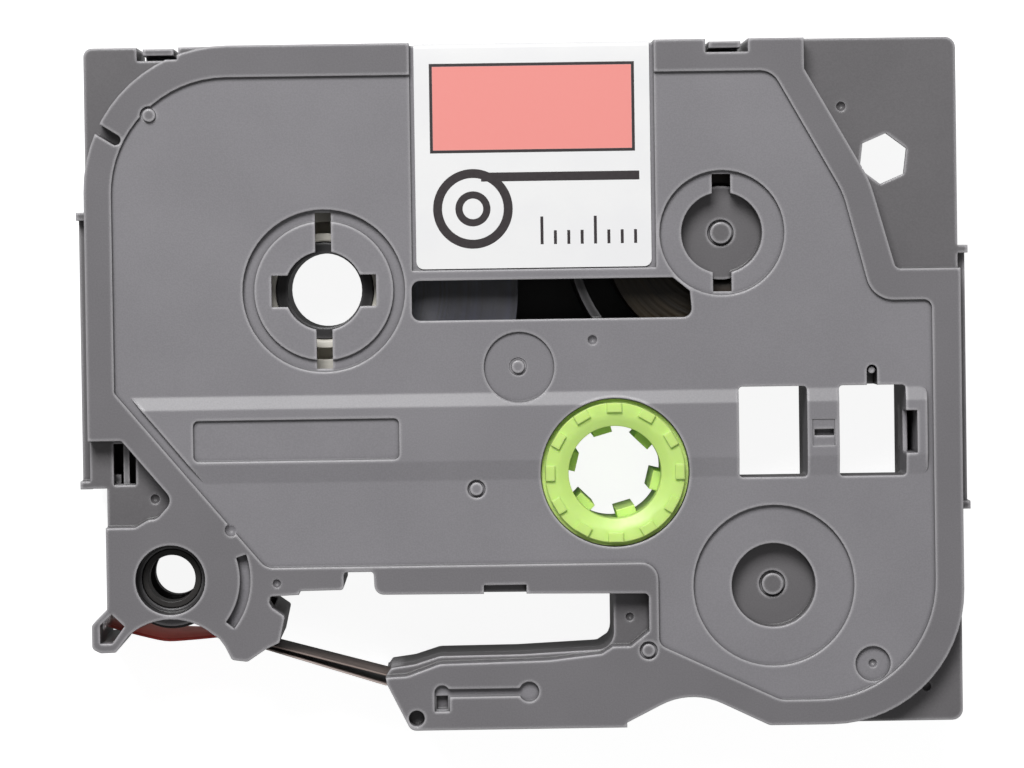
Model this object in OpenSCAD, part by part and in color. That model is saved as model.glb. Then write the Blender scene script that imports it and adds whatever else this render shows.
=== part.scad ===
// Laminated label-tape cassette, lying flat with its label side up.
// X runs along the case, Y from the front, where the head cavity is, to the rear, and Z up.
// The origin is under the middle of the case, on the surface that it lies on.

/* [Case] */
// Length of the case between its end faces
case_l = 81.8; // [80:0.1:110]
// Width of the case from front to rear
case_w = 64.3; // [63:0.1:90]
// Thickness of the side walls
wall = 1.2; // [0.9:0.1:1.5]
// Thickness of the top and floor plates
plate = 1.2; // [0.9:0.1:1.5]
// Step from the raised middle to the corner flats, on both faces
flat_drop = 2.5; // [1.5:0.1:4]
// Depth of the panel inside the rim
panel_drop = 0.4; // [0.2:0.05:0.8]
// Rise of the cross bar above the panel
bar_rise = 0.4; // [0.2:0.05:0.6]
// Height at which the two halves of the case meet
parting_z = 10.5; // [8:0.1:12.5]
// How far the grip knobs stand out from the end faces
knob_out = 0.95; // [0.5:0.05:2]
// How far the grip strips stand out from the end faces
strip_out = 0.8; // [0.2:0.05:0.9]
// Radius of the pins that hold the halves together
pin_r = 0.6; // [0.4:0.05:0.8]
// Radius of the posts under those pins
post_r = 0.9; // [0.85:0.05:1.1]
// Width of the sunk ring round each pin
moat_w = 0.25; // [0.1:0.05:0.4]

/* [Tapes] */
// Width of the tapes
tape_w = 9; // [6:0.5:18]
// Space above and below the tapes
tape_clear = 0.3; // [0.2:0.05:0.6]
// Thickness of the film, ribbon and adhesive tape where they run free
web_t = 0.15; // [0.1:0.01:0.25]
// Thickness of the finished tape
laminated_t = 0.25; // [0.15:0.01:0.35]
// Space between a moving roll or roller and the tape that runs off it
web_gap = 0.15; // [0.1:0.01:0.3]
// Width of the corridor that a tape runs in through a wall
corridor_w = 1.4; // [1:0.1:1.6]

/* [Spools] */
// Radius of the adhesive tape roll
adhesive_roll_r = 18.2; // [12:0.1:18.4]
// Radius of the adhesive tape core
adhesive_core_r = 8; // [6.5:0.1:10]
// Radius of the boss that the adhesive core turns on
adhesive_boss_r = 4.55; // [4.3:0.05:5.6]
// Radius of the open hole through that boss
adhesive_bore_r = 3.5; // [2.8:0.05:3.6]
// Thickness of the two spacer discs on the adhesive roll
spacer_t = 0.1; // [0.05:0.01:0.12]
// Radius of the film roll
film_roll_r = 11; // [8:0.1:12.5]
// Radius of the film core
film_core_r = 6; // [5.6:0.1:7.5]
// Radius of the boss that the film core turns on
film_boss_r = 4.4; // [4.3:0.05:5.3]
// Radius of the ribbon supply roll
ribbon_roll_r = 8.3; // [7:0.1:8.5]
// Radius of the ribbon supply core
ribbon_core_r = 6; // [5.7:0.1:6.8]
// Radius of the boss that the ribbon core turns on
ribbon_boss_r = 4.5; // [4.4:0.05:5.4]
// Radius of the holes in the film and ribbon bosses
boss_hole_r = 3.8; // [3:0.05:3.9]
// Radius of the pins in the middle of those bosses
boss_pin_r = 1; // [0.8:0.05:1.3]
// Radius of the used ribbon on the take-up spool
takeup_roll_r = 8.2; // [7.6:0.1:9]
// Radius of the take-up spool's barrel
takeup_barrel_r = 7.4; // [7.3:0.05:7.9]
// Radius of the take-up spool's journals
takeup_journal_r = 6.9; // [6.2:0.05:7]
// Radius of the plain hole through the take-up spool
takeup_bore_r = 4.35; // [3.9:0.05:4.8]
// Inward reach of the drive ribs in that hole
takeup_rib = 0.75; // [0.4:0.05:1]
// Wire thickness of the clutch spring
spring_wire = 0.4; // [0.3:0.05:0.45]
// Running clearance of a spool or roller on what it turns on
run_clear = 0.08; // [0.04:0.01:0.1]

/* [Rollers] */
// Radius of the tape drive roller
roller_r = 4.8; // [4.4:0.05:4.9]
// Radius of the drive roller's journals
roller_journal_r = 2.75; // [2.5:0.05:2.9]
// Radius of the plain hole through the drive roller
roller_bore_r = 2.2; // [1.9:0.05:2.3]
// Radius of the film guide roller
guide_roller_r = 2.6; // [2:0.05:2.8]
// Radius of the pin that the guide roller turns on
guide_pin_r = 1; // [0.8:0.05:1.3]

/* [Label] */
// Thickness of the label
label_t = 0.15; // [0.05:0.01:0.25]
// Depth of the recess that holds the label
label_drop = 0.25; // [0.1:0.01:0.35]
// Length of the label on the top face
label_top_l = 20.9; // [15:0.1:21]
// Width of the label
label_w = 22; // [15:0.1:22.4]
// Width of the label's recess
label_recess_w = 22.85; // [22.5:0.05:23.5]
// Length of the label on the rear face
label_rear_l = 11; // [5:0.1:13]

/* [Hidden] */
$fn = 48;
// How far a cut runs past a face, and how far joined shapes run into each other
cut = 1;
sink = 0.2;
// Space between a post's end and the plate above it
end_gap = 0.1;
// Clearance of a pin in its hole, and between faces that lie on each other
pin_fit = 0.03;
lay_gap = 0.02;
case_h = tape_w + 2 * (tape_clear + plate + flat_drop);
flat_top = case_h - flat_drop;
tape_z0 = flat_drop + plate + tape_clear;
tape_z1 = tape_z0 + tape_w;
inner_z0 = flat_drop + plate;
inner_z1 = flat_top - plate;
panel_z = case_h - panel_drop;
deep_z0 = panel_drop + plate;
deep_z1 = panel_z - plate;
label_z = panel_z - label_drop;
label_x = 1.05;
label_margin = 0.35;

// Points measured in from the front left, front right, rear left and rear right corners,
// or from the front or rear edge at a distance from the middle. The third number rounds the corner.
function fl(x, y, r = 0) = [x - case_l / 2, y - case_w / 2, r];
function fr(x, y, r = 0) = [case_l / 2 - x, y - case_w / 2, r];
function rl(x, y, r = 0) = [x - case_l / 2, case_w / 2 - y, r];
function rr(x, y, r = 0) = [case_l / 2 - x, case_w / 2 - y, r];
function fc(x, y, r = 0) = [x, y - case_w / 2, r];
function rc(x, y, r = 0) = [x, case_w / 2 - y, r];
function flat2(p) = [p.x, p.y];
function unit(v) = v / norm(v);
function short_turn(a) = a - 360 * round(a / 360);
function arc(c, r, from, to, n = 10) = [for (k = [0 : n])
    let (a = from + (to - from) * k / n) [c.x + r * cos(a), c.y + r * sin(a), 0]];

// The arc that rounds corner b between its neighbours a and c
function rounded_corner(a, b, c) = let (
    u = unit(flat2(a) - flat2(b)),
    v = unit(flat2(c) - flat2(b)),
    half = acos(max(-1, min(1, u * v))) / 2,
    m = flat2(b) + unit(u + v) * b[2] / sin(half),
    p = flat2(b) + u * b[2] / tan(half) - m,
    q = flat2(b) + v * b[2] / tan(half) - m,
    start = atan2(p.y, p.x),
    turn = short_turn(atan2(q.y, q.x) - start),
    n = max(2, ceil(abs(turn) / (b[2] > 2 ? 6 : 15))))
    [for (k = [0 : n]) m + b[2] * [cos(start + turn * k / n), sin(start + turn * k / n)]];
function outline(p) = [for (i = [0 : len(p) - 1]) each p[i][2] == 0 ? [flat2(p[i])]
    : rounded_corner(p[(i + len(p) - 1) % len(p)], p[i], p[(i + 1) % len(p)])];

// Centres of everything that turns
adhesive_c = rl(22.25, 23);
film_c = rr(22.25, 18.1);
ribbon_c = fr(17.8, 13.1);
takeup_c = fr(32.55, 23.9);
roller_c = fl(7.5, 14.45);
guide_c = fr(8.6, 5.6);

// Fixed guide posts that the tapes bend round
upper_post_c = fr(4, 35.7);
lower_post_c = fr(4, 20.7);
guide_post_r = 1.2;
turn_post_c = fl(16.7, 9);
turn_post_r = 0.95;
return_post_c = fl(18.4, 16);
return_post_r = 0.8;

// How far the finished tape stands off the drive roller
laminated_out = 0.85;

// Where the adhesive tape meets the film, on the drive roller
join_turn = -45;
adhesive_end = roller_c + 1.001 * (roller_r + web_gap + web_t / 2) * [cos(join_turn), sin(join_turn), 0];

// Routes of the tapes. Each stop is a centre and a radius: plus turns left, minus right.
film_route = [
    [film_c, -film_roll_r - web_gap - web_t / 2],
    [upper_post_c, -guide_post_r - web_gap],
    [lower_post_c, -guide_post_r - web_gap],
    [guide_c, -guide_roller_r - web_gap - web_t / 2],
    [fr(25.6, 4.2), 0],
    [fl(27.4, 4), 0],
    [fl(12.1, 8.85), 0]];
ribbon_route = [
    [ribbon_c, -ribbon_roll_r - web_gap - web_t / 2],
    [fl(27.9, 4.8), 0],
    [turn_post_c, -turn_post_r - web_gap],
    [return_post_c, -return_post_r - web_gap],
    [takeup_c, takeup_roll_r + web_gap + web_t / 2]];
adhesive_route = [
    [adhesive_c, adhesive_roll_r + web_gap + web_t / 2],
    [roller_c, -roller_r - web_gap - web_t / 2],
    [adhesive_end, 0]];
laminated_route = [
    [fl(11.8, 8.85), 0],
    [roller_c, -roller_r - laminated_out],
    [fl(0.2 - knob_out, 10.65), 0]];

// Heading of the straight run between two stops, and the points along a route at offset h from its line
function heading(a, b) = let (d = flat2(b[0]) - flat2(a[0]))
    atan2(d.y, d.x) + asin((a[1] - b[1]) / norm(d));
function headings(route) = [for (i = [0 : len(route) - 2]) heading(route[i], route[i + 1])];
function stop_points(stop, from, to, h) = let (
    turn = short_turn(to - from),
    n = stop[1] == 0 ? 0 : ceil(abs(turn) / 12))
    [for (k = [0 : n]) let (t = n == 0 ? from + turn / 2 : from + turn * k / n)
        flat2(stop[0]) + (stop[1] + h) * [sin(t), -cos(t)]];
function route_side(route, h) = let (t = headings(route), last = len(route) - 1)
    [for (i = [0 : last]) each stop_points(route[i], t[max(0, i - 1)], t[min(last - 1, i)], h)];
function backwards(p) = [for (i = [len(p) - 1 : -1 : 0]) p[i]];
function web_outline(route, t) = concat(route_side(route, t / 2), backwards(route_side(route, -t / 2)));

// Outlines of the case
roller_wall = 0.8;
pinch_c = fl(7.45, 4.8);
pinch_r = 6;
front_edge = [
    fl(27.5, 5), fl(27.6, 4.4), fl(29.8, 0, 0.8),
    fr(31.75, 0), fr(31.75, 0.45), fr(25.7, 3.5, 6.5), fr(18.4, 0, 1)];
block_edge = concat(
    [fl(1.55, 11.8), fl(0.1, 10.35, 0.5), fl(0.1, 8.1, 0.5), fl(0.9, 7.7, 0.3), fl(2.3, 7.75, 0.3)],
    arc(pinch_c, pinch_r, 131, 49, 12),
    [fl(12, 8.9), fl(12.5, 8.2), fl(13.15, 6.9, 0.4), fl(14.6, 6.7, 0.5), fl(16.4, 7.9),
    fl(17.6, 8.45, 0.3),
    fl(18.15, 10.9, 0.3), fl(17, 11.7), fl(16.7, 12.2, 0.2), fl(16.8, 12.8, 0.2), fl(19.5, 12.9),
    fl(19.6, 13.25), fl(23.7, 13.3, 0.3), fl(23.7, 14.95, 0.3), fl(26.5, 14.95, 0.3), fl(26.6, 12.8, 0.9),
    fc(-0.1, 12.7)]);
silhouette = concat(front_edge,
    [fr(0, 0, 1), rr(0, 0, 1), rl(0, 0, 0.8), fl(0, 23), fl(1.55, 23)],
    block_edge,
    [fr(32.8, 12.55, 0.3), fr(32.8, 7.2, 1.6), fl(40.1, 6.8), fl(32.6, 6.75, 1.5), fl(30.2, 6, 2),
    fl(28, 5.7, 0.2)]);
raised = concat(front_edge,
    [fr(0, 0, 12.5), rr(0, 21.7), rr(6.05, 21.7, 0.6), rr(8.4, 13.4, 10), rr(14.4, 2.9), rr(14.4, 0),
    rl(0, 0, 13.5), fl(0, 27.55), fl(3.15, 27.55, 0.3), fl(7.9, 21.9, 1), fl(6.3, 20.15, 1), fl(5.5, 20.1),
    fl(4.3, 19.4, 0.4), fl(1.55, 19.4)],
    block_edge,
    [fr(29.55, 12.55, 0.4), fr(29.55, 9), fr(31.3, 7.6), fr(33, 7.6), fr(34, 6.95), fr(39, 6.4),
    fl(32.6, 6.2, 1), fl(29.5, 5.1, 0.8), fl(27.5, 5)]);
panel = [
    fl(2.55, 32, 0.4), fl(16.45, 15.45, 1.5), fr(28.65, 15.45, 1.6), fr(28.65, 7.7, 1), fr(17.3, 2.35, 2),
    fr(2.65, 2.35, 11), rr(2.7, 24.6, 0.8), rr(8.25, 24.6, 2.6), rr(10.9, 14.55, 8), rr(17.4, 3, 2),
    rl(2.55, 2.95, 10.85)];
cavity = [
    rl(wall, wall, 0.5), fl(wall, 23 + wall), fl(1.55 + wall, 23 + wall), fl(1.55 + wall, 16), fl(16.2, 16),
    fl(16.2, 14.2), fl(22.5, 14.2), fl(22.5, 14.95 + wall), fl(27.7, 14.95 + wall), fl(27.7, 13.55 + wall),
    fr(32.8 - wall, 13.55 + wall), fr(32.8 - wall, 6), fl(40.1, 6.8 - wall), fl(32.8, 6.7 - wall),
    fl(29, 4.6), fl(30.6, wall), fr(32.2, wall), fr(31.4, 1.8), fr(25.7, 3.5 + wall, 6), fr(18, wall, 1),
    fr(wall, wall, 0.6), rr(wall, wall, 0.6)];
bar = [fl(4.05, 31.55), fl(10.85, 23.4), fr(3.25, 23.4, 0.7), fr(3.25, 31.55, 0.7)];
slot = [rc(-10.45, 25.95, 0.8), rc(15.8, 25.95, 0.8), rc(15.6, 23.5), rc(14, 22.2), rc(-10.45, 22.2, 0.8)];
outlet_gap = [fl(1.95, 11.35), fl(0.85, 10.3), fl(0.85, 8.6), fl(2, 8.6), fl(3.15, 10.2)];

// Windows right through the case, as pairs of opposite corners
windows = [[fr(20.9, 23.25), fr(14.5, 31.75)], [fr(11.5, 23.25), fr(5.25, 31.75)]];
window_notch = [fr(5.35, 25.35), fr(4.2, 29.35)];
window_slot_c = fr(8.37, 33.15);
window_slot_r = 0.5;
window_slot_z = flat_top - 2;
window_pin_r = 0.32;
notch_slit = [fr(4.84, 25.35), fr(4.22, 29.35)];
// How far the lower half's windows are wider at the right and the front
window_flare = [0.4, 0.8];
function window_corners(w, g) = [[w[0].x, w[0].y - g.y, 0.35], [w[1].x + g.x, w[0].y - g.y, 0.35],
    [w[1].x + g.x, w[1].y, 0.35], [w[0].x, w[1].y, 0.35]];
snaps = [[rl(5, 1.25), rl(8.9, -1)], [rr(23.6, 1.25), rr(19.6, -1)]];
snap_gap = 0.5;
hook_t = 0.6;
head_notch_deep = 2.5;
knob_w = 0.75;
guide_hole_c = rr(6.9, 11.35);
guide_hole_r = 2.4;
guide_hole_turn = 23;
guide_tube_r = 3.2;
guide_tube_c = guide_hole_c + [0.7, 0.15, 0];
takeup_hole_r = takeup_journal_r + run_clear;
// The step round the spool's top, in and down, the depth of its dish and the turn of its ribs
takeup_step = [0.35, 0.6];
takeup_dish = 0.5;
takeup_rib_turn = 14;
roller_hole_r = roller_journal_r + run_clear;
roller_sink_r = 3.27;
// How much wider the ribbed stretch of the two driven holes is
bore_relief = 0.4;
roller_relief = 0.6;
adhesive_seat_r = 7.6;
film_seat_r = 5.85;
ribbon_seat_r = 7.55;
seat_drop = 0.5;
seat_step_r = 6.5;
boss_floor_z = flat_top - 0.5;
boss_top_z = boss_floor_z - plate - end_gap;
boss_pin_out = 0.5;

// Pins through the top: centre and the height of the face that they come out in
rim_pin_c = rl(6.2, 6.4);
panel_pins = [rc(-0.6, 30.35), fc(-4.65, 22.55)];
arm_pin_c = fr(29.65, 7.2);
dimples = [
    [rr(10.8, 6.4), flat_top, 0.45], [rc(6.4, 27.95), panel_z, 0.45], [fl(6.05, 21.95), flat_top, 0.45],
    [fl(13.25, 19.05), case_h, 0.6], [fl(17.45, 14), case_h, 0.4], [fr(31.3, 10.2), flat_top, 0.4],
    [fr(3.4, 3.2), flat_top, 0.45]];

case_grey = "#868487";
case_shade = "#737174";
core_white = "#d8d6d0";
lime = "#cceb8f";
dark = "#26242a";

module slab(points, z0, z1) {
    translate([0, 0, z0]) linear_extrude(z1 - z0) polygon(outline(points));
}

module block(a, b, z0, z1) {
    low = [min(a.x, b.x), min(a.y, b.y), z0];
    translate(low) cube([abs(b.x - a.x), abs(b.y - a.y), z1 - z0]);
}

module rod(c, r, z0, z1) {
    translate([c.x, c.y, z0]) cylinder(r = r, h = z1 - z0);
}

module ring(c, outer, inner, z0, z1) {
    difference() {
        rod(c, outer, z0, z1);
        rod(c, inner, z0 - cut, z1 + cut);
    }
}

module strip(route, t, z0, z1) {
    translate([0, 0, z0]) linear_extrude(z1 - z0) polygon(web_outline(route, t));
}

// Everything that is open from face to face in both halves
module through_openings() {
    low = -cut;
    high = case_h + cut;
    for (w = windows) slab(window_corners(w, [0, 0]), low, high);
    block(notch_slit[0], notch_slit[1], flat_drop + plate, high);
    for (s = snaps) block(s[0], s[1], low, high);
    slab(outlet_gap, low, high);
    rod(adhesive_c, adhesive_bore_r, low, high);
    rod(takeup_c, takeup_hole_r, low, high);
    rod(roller_c, roller_hole_r, low, high);
}

// The room inside the case, with the corridors that the tapes leave and enter through
module inner_room() {
    slab(cavity, inner_z0, inner_z1);
    slab(panel, deep_z0, deep_z1);
    intersection() {
        rod(roller_c, roller_r + wall, inner_z0, inner_z1);
        block(fl(1.55 + roller_wall, 0), fl(16, 24), inner_z0, inner_z1);
    }
    block(fl(3.9, 7), fl(12.6, 12), inner_z0, inner_z1);
    for (r = [film_route, ribbon_route, laminated_route]) strip(r, corridor_w, inner_z0, inner_z1);
}

// The solid block that carries the windows and their notch through the room
module window_shaft(z0, z1) {
    block(windows[0][0] - [wall, wall, 0], window_notch[1] + [wall / 2, 4.6, 0], z0, z1);
}

// Solid shafts for the windows and the guide hole, and pads behind the snaps
module shafts(z0, z1) {
    window_shaft(z0, z1);
    rod(guide_tube_c, guide_tube_r + wall, z0, z1);
    for (s = snaps) block(s[0] - [wall, wall, 0], [s[1].x + wall, case_w / 2 - wall / 2], z0, z1);
}

// The ribs and strips on the end faces that the fingers hold
module grips(z0, z1, strip_z1) {
    x = case_l / 2;
    left_y = [fl(0, 22.95).y, fl(0, 48.2).y];
    right_y = [fl(0, 19.9).y, fl(0, 44).y];
    for (y = left_y) block([-x - knob_out, y], [sink - x, y + knob_w], z0, z1);
    for (y = right_y) block([x - sink, y], [x + knob_out, y + knob_w], z0, z1);
    block([-x - strip_out, left_y[0] + sink], [sink - x, left_y[1] + sink], z0, strip_z1);
    block([x - sink, right_y[0] + sink], [x + strip_out, right_y[1] + sink], z0, strip_z1);
}

module post_with_pin(c, face_z, ceiling_z) {
    rod(c, post_r, deep_z0 - sink, ceiling_z - end_gap);
    rod(c, pin_r, ceiling_z - sink, face_z);
}

// A boss that a core turns on, hollow from below, with a shoulder under the core and a pin on top
module spool_boss(c, boss_r, shoulder_r, top_z, pin_top) {
    difference() {
        union() {
            rod(c, shoulder_r, deep_z0 - sink, tape_z0 - 0.15);
            rod(c, boss_r, deep_z0 - sink, top_z);
            rod(c, boss_pin_r, top_z - sink, pin_top);
        }
        rod(c, boss_r - 1, -cut, top_z - 1);
    }
}

module bottom_case() {
    color(case_shade) {
        difference() {
            union() {
                difference() {
                    union() {
                        slab(silhouette, flat_drop, parting_z);
                        slab(raised, 0, flat_drop + 0.5);
                    }
                    slab(panel, -cut, panel_drop);
                    inner_room();
                }
                shafts(flat_drop, parting_z);
                window_shaft(panel_drop, flat_drop + 0.5);
                grips(flat_drop, parting_z, parting_z);
            }
            through_openings();
            for (w = windows) slab(window_corners(w, window_flare), -cut, parting_z + cut);
            rod(guide_tube_c, guide_tube_r, -cut, parting_z + cut);
            rod(film_c, film_boss_r - 1, -cut, deep_z0);
            rod(ribbon_c, ribbon_boss_r - 1, -cut, deep_z0);
            rod(roller_c, roller_sink_r, -cut, flat_drop);
            label_rear_recess();
        }
        for (s = snaps) snap_hook(s);
        ring(adhesive_c, adhesive_boss_r, adhesive_bore_r, panel_drop, tape_z1 - 0.3);
        ring(adhesive_c, adhesive_core_r - 0.5, adhesive_bore_r, deep_z0 - sink, tape_z0 - 0.25);
        spool_boss(film_c, film_boss_r, film_core_r - 0.3, boss_top_z, boss_floor_z + boss_pin_out);
        spool_boss(ribbon_c, ribbon_boss_r, ribbon_core_r - 0.3, boss_top_z, boss_floor_z + boss_pin_out);
        post_with_pin(rim_pin_c, case_h, inner_z1);
        for (p = panel_pins) post_with_pin(p, panel_z, deep_z1);
        rod(arm_pin_c, post_r, flat_drop + 0.5, inner_z1 - end_gap);
        rod(arm_pin_c, pin_r, inner_z1 - sink, case_h);
        for (c = [upper_post_c, lower_post_c]) rod(c, guide_post_r, deep_z0 - sink, inner_z1 - end_gap);
        rod(turn_post_c, turn_post_r, flat_drop + 0.5, parting_z);
        rod(return_post_c, return_post_r, flat_drop + 0.5, inner_z1 - end_gap);
        rod(guide_c, guide_pin_r, deep_z0 - sink, inner_z1 - end_gap);
        film_partition(deep_z0 - sink, parting_z);
    }
}

// A hook that springs into a snap window, on a foot that joins it to the wall behind
module snap_hook(s) {
    left = s[0].x + snap_gap;
    right = s[1].x - snap_gap;
    rear = case_w / 2 - end_gap;
    block([left, rear - hook_t], [right, rear], flat_drop, flat_top - 1);
    block([left, s[0].y - sink], [right, rear - sink], flat_drop, parting_z - 2);
}

// The thin wall round the film roll
module film_partition(z0, z1) {
    inner = film_roll_r + 2.7;
    outer = inner + 0.8;
    points = concat(arc(film_c, outer, 130, 318, 40), arc(film_c, inner, 318, 130, 40));
    slab(points, z0, z1);
}

// Room for the label, from the rear face inwards and from z0 up
module label_room(depth, z0) {
    half = label_recess_w / 2;
    block(rc(label_x - half, depth), rc(label_x + half, -cut), z0, case_h + cut);
}

module label_rear_recess() {
    z0 = label_z - label_rear_l - label_margin;
    label_room(label_drop, z0);
}

// The round seats, slots and sunk shapes of the top face
module seat_cuts(c, r, hole_r) {
    rod(c, r, panel_z - seat_drop, case_h + cut);
    rod(c, hole_r, boss_floor_z, case_h + cut);
}

module film_seat_slots(slot_w, slot_r) {
    translate([film_c.x - slot_w / 2, film_c.y - slot_r, boss_floor_z]) cube([slot_w, 2 * slot_r, case_h]);
}

module pin_hole(c, face_z) {
    rod(c, pin_r + pin_fit, inner_z0, face_z + cut);
    rod(c, pin_r + moat_w, face_z - 0.4, face_z + cut);
}

module key_slot() {
    z = case_h - 0.6;
    rod(fl(40.9, 3.5), 0.95, z, case_h + cut);
    block(fl(33.2, 3.1), fl(40.3, 3.85), z, case_h + cut);
    rod(fl(32.75, 3.5), 0.72, z, case_h + cut);
    block(fl(32.03, 1.75), fl(33.47, 3.5), z, case_h + cut);
    block(fl(32.2, 1.9), fl(33.3, 3.2), case_h - 1.5, case_h + cut);
}

module adhesive_seat_cuts() {
    ring(adhesive_c, adhesive_seat_r, seat_step_r, panel_z - seat_drop - 0.15, case_h + cut);
    rod(adhesive_c, seat_step_r + sink, panel_z - seat_drop + 0.25, case_h + cut);
    rod(adhesive_c, adhesive_bore_r + 0.2, deep_z0, case_h + cut);
    translate([adhesive_c.x - 4.9, adhesive_c.y - 1.48, deep_z1 - cut]) cube([9.8, 2.95, case_h]);
    translate([adhesive_c.x - 0.75, adhesive_c.y - 7.3, deep_z1 - cut]) cube([1.5, 14.6, case_h]);
}

module cross_bar() {
    low = panel_z - 0.3;
    high = panel_z + bar_rise;
    foot = fl(0, 23.4).y;
    intersection() {
        slab(bar, low, high + cut);
        translate([-case_l, 0, 0]) rotate([90, 0, 90]) linear_extrude(2 * case_l)
            polygon([[foot, low], [foot + 8.15, low], [foot + 8.15, panel_z], [foot + 6.9, high],
                [foot + 1.8, high], [foot, panel_z]]);
    }
}

module curved_slot() {
    points = concat(arc(roller_c, 7.5, -38, 18), arc(roller_c, 6.5, 18, -38));
    slab(points, case_h - 1.2, case_h + cut);
}

// Two slots beside a sunk bar, in the flat at the left
module side_slots() {
    top = flat_top + 0.05;
    block(fl(2.2, 23.3), fl(4.3, 27.2), flat_top - 0.6, top);
    for (x = [[2.2, 3.1], [3.65, 4.3]]) block(fl(x[0], 23.4), fl(x[1], 27.2), inner_z1 - cut, top);
}

module rim_notch() {
    translate([rl(3.05, 8.65).x, rl(3.05, 8.65).y, flat_top]) cylinder(r = 0.5, h = flat_drop + cut);
    translate([rl(3.05, 8.65).x, rl(3.05, 8.65).y, flat_top]) rotate([0, 0, 148])
        translate([0, -0.5, 0]) cube([4, 1, flat_drop + cut]);
}

module top_case() {
    color(case_grey) difference() {
        union() {
            difference() {
                union() {
                    slab(silhouette, parting_z + lay_gap, flat_top);
                    slab(raised, flat_top - 0.5, case_h);
                }
                slab(panel, panel_z, case_h + cut);
                inner_room();
            }
            shafts(parting_z + lay_gap, flat_top);
            window_shaft(flat_top - 0.5, panel_z);
            grips(parting_z + lay_gap, flat_top, flat_top - 1.5);
            cross_bar();
            film_partition(parting_z + lay_gap, deep_z1 + sink);
            rod(turn_post_c, turn_post_r, parting_z + lay_gap, flat_top - 0.5);
            rod(film_c, film_boss_r, boss_floor_z - plate, panel_z - end_gap);
            rod(ribbon_c, ribbon_boss_r, boss_floor_z - plate, panel_z - end_gap);
            ring(roller_c, roller_sink_r + wall, roller_hole_r, inner_z1 - end_gap, flat_top);
        }
        through_openings();
        slab(slot, deep_z1 - cut, case_h + cut);
        window_cuts();
        label_room(label_top_l + label_margin, label_z);
        label_rear_recess();
        slab([fl(9.85, 25.45, 0.5), fl(29.1, 25.45, 0.5), fl(29.1, 29.3, 0.5), fl(9.85, 29.3, 0.5)],
            panel_z + bar_rise - 0.35, case_h + cut);
        rod(rc(-0.5, 30.4), 3.3, panel_z - 0.3, case_h);
        adhesive_seat_cuts();
        seat_cuts(film_c, film_seat_r, boss_hole_r);
        film_seat_slots(1.75, 5.5);
        seat_cuts(ribbon_c, ribbon_seat_r, boss_hole_r + 0.15);
        for (c = [film_c, ribbon_c]) rod(c, boss_pin_r + pin_fit, inner_z0, case_h);
        for (c = [film_c, ribbon_c]) rod(c, boss_pin_r + moat_w, boss_floor_z - 0.4, case_h);
        rod(roller_c, roller_sink_r, case_h - flat_drop, case_h + cut);
        pin_hole(rim_pin_c, case_h);
        for (p = panel_pins) pin_hole(p, panel_z);
        pin_hole(arm_pin_c, case_h);
        rod(guide_c, 1.65, panel_z - 0.5, case_h);
        translate([guide_c.x, guide_c.y, panel_z - 0.5]) sphere(r = 0.4);
        for (d = dimples) translate([d[0].x, d[0].y, d[1]]) sphere(r = d[2]);
        rod(fl(30.35, 1.15), 0.75, case_h - 2, case_h + cut);
        key_slot();
        curved_slot();
        block(fc(-4.1, 12), fc(-0.1, 13.55), case_h - head_notch_deep, case_h + cut);
        rim_notch();
        translate([guide_hole_c.x, guide_hole_c.y, 0]) rotate([0, 0, guide_hole_turn])
            cylinder(r = guide_hole_r, h = case_h, $fn = 6);
        rod(guide_tube_c, guide_tube_r, parting_z - cut, flat_top - 0.7);
        side_slots();
        block(fr(13.85, 27.1), fr(12, 27.7), panel_z - 0.6, case_h + cut);
        block(fr(14.05, 26.15), fr(11.9, 28.65), panel_z + bar_rise - 0.1, case_h + cut);
    }
    color(case_grey) rod(window_slot_c, window_pin_r, window_slot_z - sink, panel_z - 0.5);
}

// The notch and the slot beside the second window
module window_cuts() {
    block(window_notch[0], window_notch[1], inner_z1, case_h + cut);
    rod(window_slot_c, window_slot_r, window_slot_z, case_h + cut);
    block(window_slot_c - [window_slot_r, 2, 0], window_slot_c + [window_slot_r, 0, 0], window_slot_z,
        case_h + cut);
}

module product_label() {
    left = label_x - label_w / 2;
    right = label_x + label_w / 2;
    rear = case_w / 2 - label_drop + lay_gap;
    low = label_z + lay_gap;
    color("white") {
        block([left, rear - label_top_l], [right, rear + label_t], low, low + label_t);
        block([left, rear], [right, rear + label_t], label_z - label_rear_l, low + label_t);
    }
}

module adhesive_core() {
    bore_r = adhesive_boss_r + run_clear;
    color(core_white) ring(adhesive_c, adhesive_core_r, bore_r, tape_z0 - spacer_t, tape_z1 + spacer_t);
}

module adhesive_roll() {
    color("#20263a") ring(adhesive_c, adhesive_roll_r, adhesive_core_r + lay_gap, tape_z0, tape_z1);
}

module spacer(z0) {
    color("#e8e8e4") ring(adhesive_c, adhesive_roll_r, adhesive_core_r + lay_gap, z0, z0 + spacer_t);
}

module adhesive_lower_spacer() {
    spacer(tape_z0 - lay_gap - spacer_t);
}

module adhesive_upper_spacer() {
    spacer(tape_z1 + lay_gap);
}

module film_core() {
    color(core_white) ring(film_c, film_core_r, film_boss_r + run_clear, tape_z0, tape_z1);
}

module film_roll() {
    color("#3a3020") ring(film_c, film_roll_r, film_core_r + lay_gap, tape_z0, tape_z1);
}

module ribbon_supply_core() {
    color(core_white) ring(ribbon_c, ribbon_core_r, ribbon_boss_r + run_clear, tape_z0, tape_z1);
}

module ribbon_supply_roll() {
    color(dark) ring(ribbon_c, ribbon_roll_r, ribbon_core_r + lay_gap, tape_z0, tape_z1);
}

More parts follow.
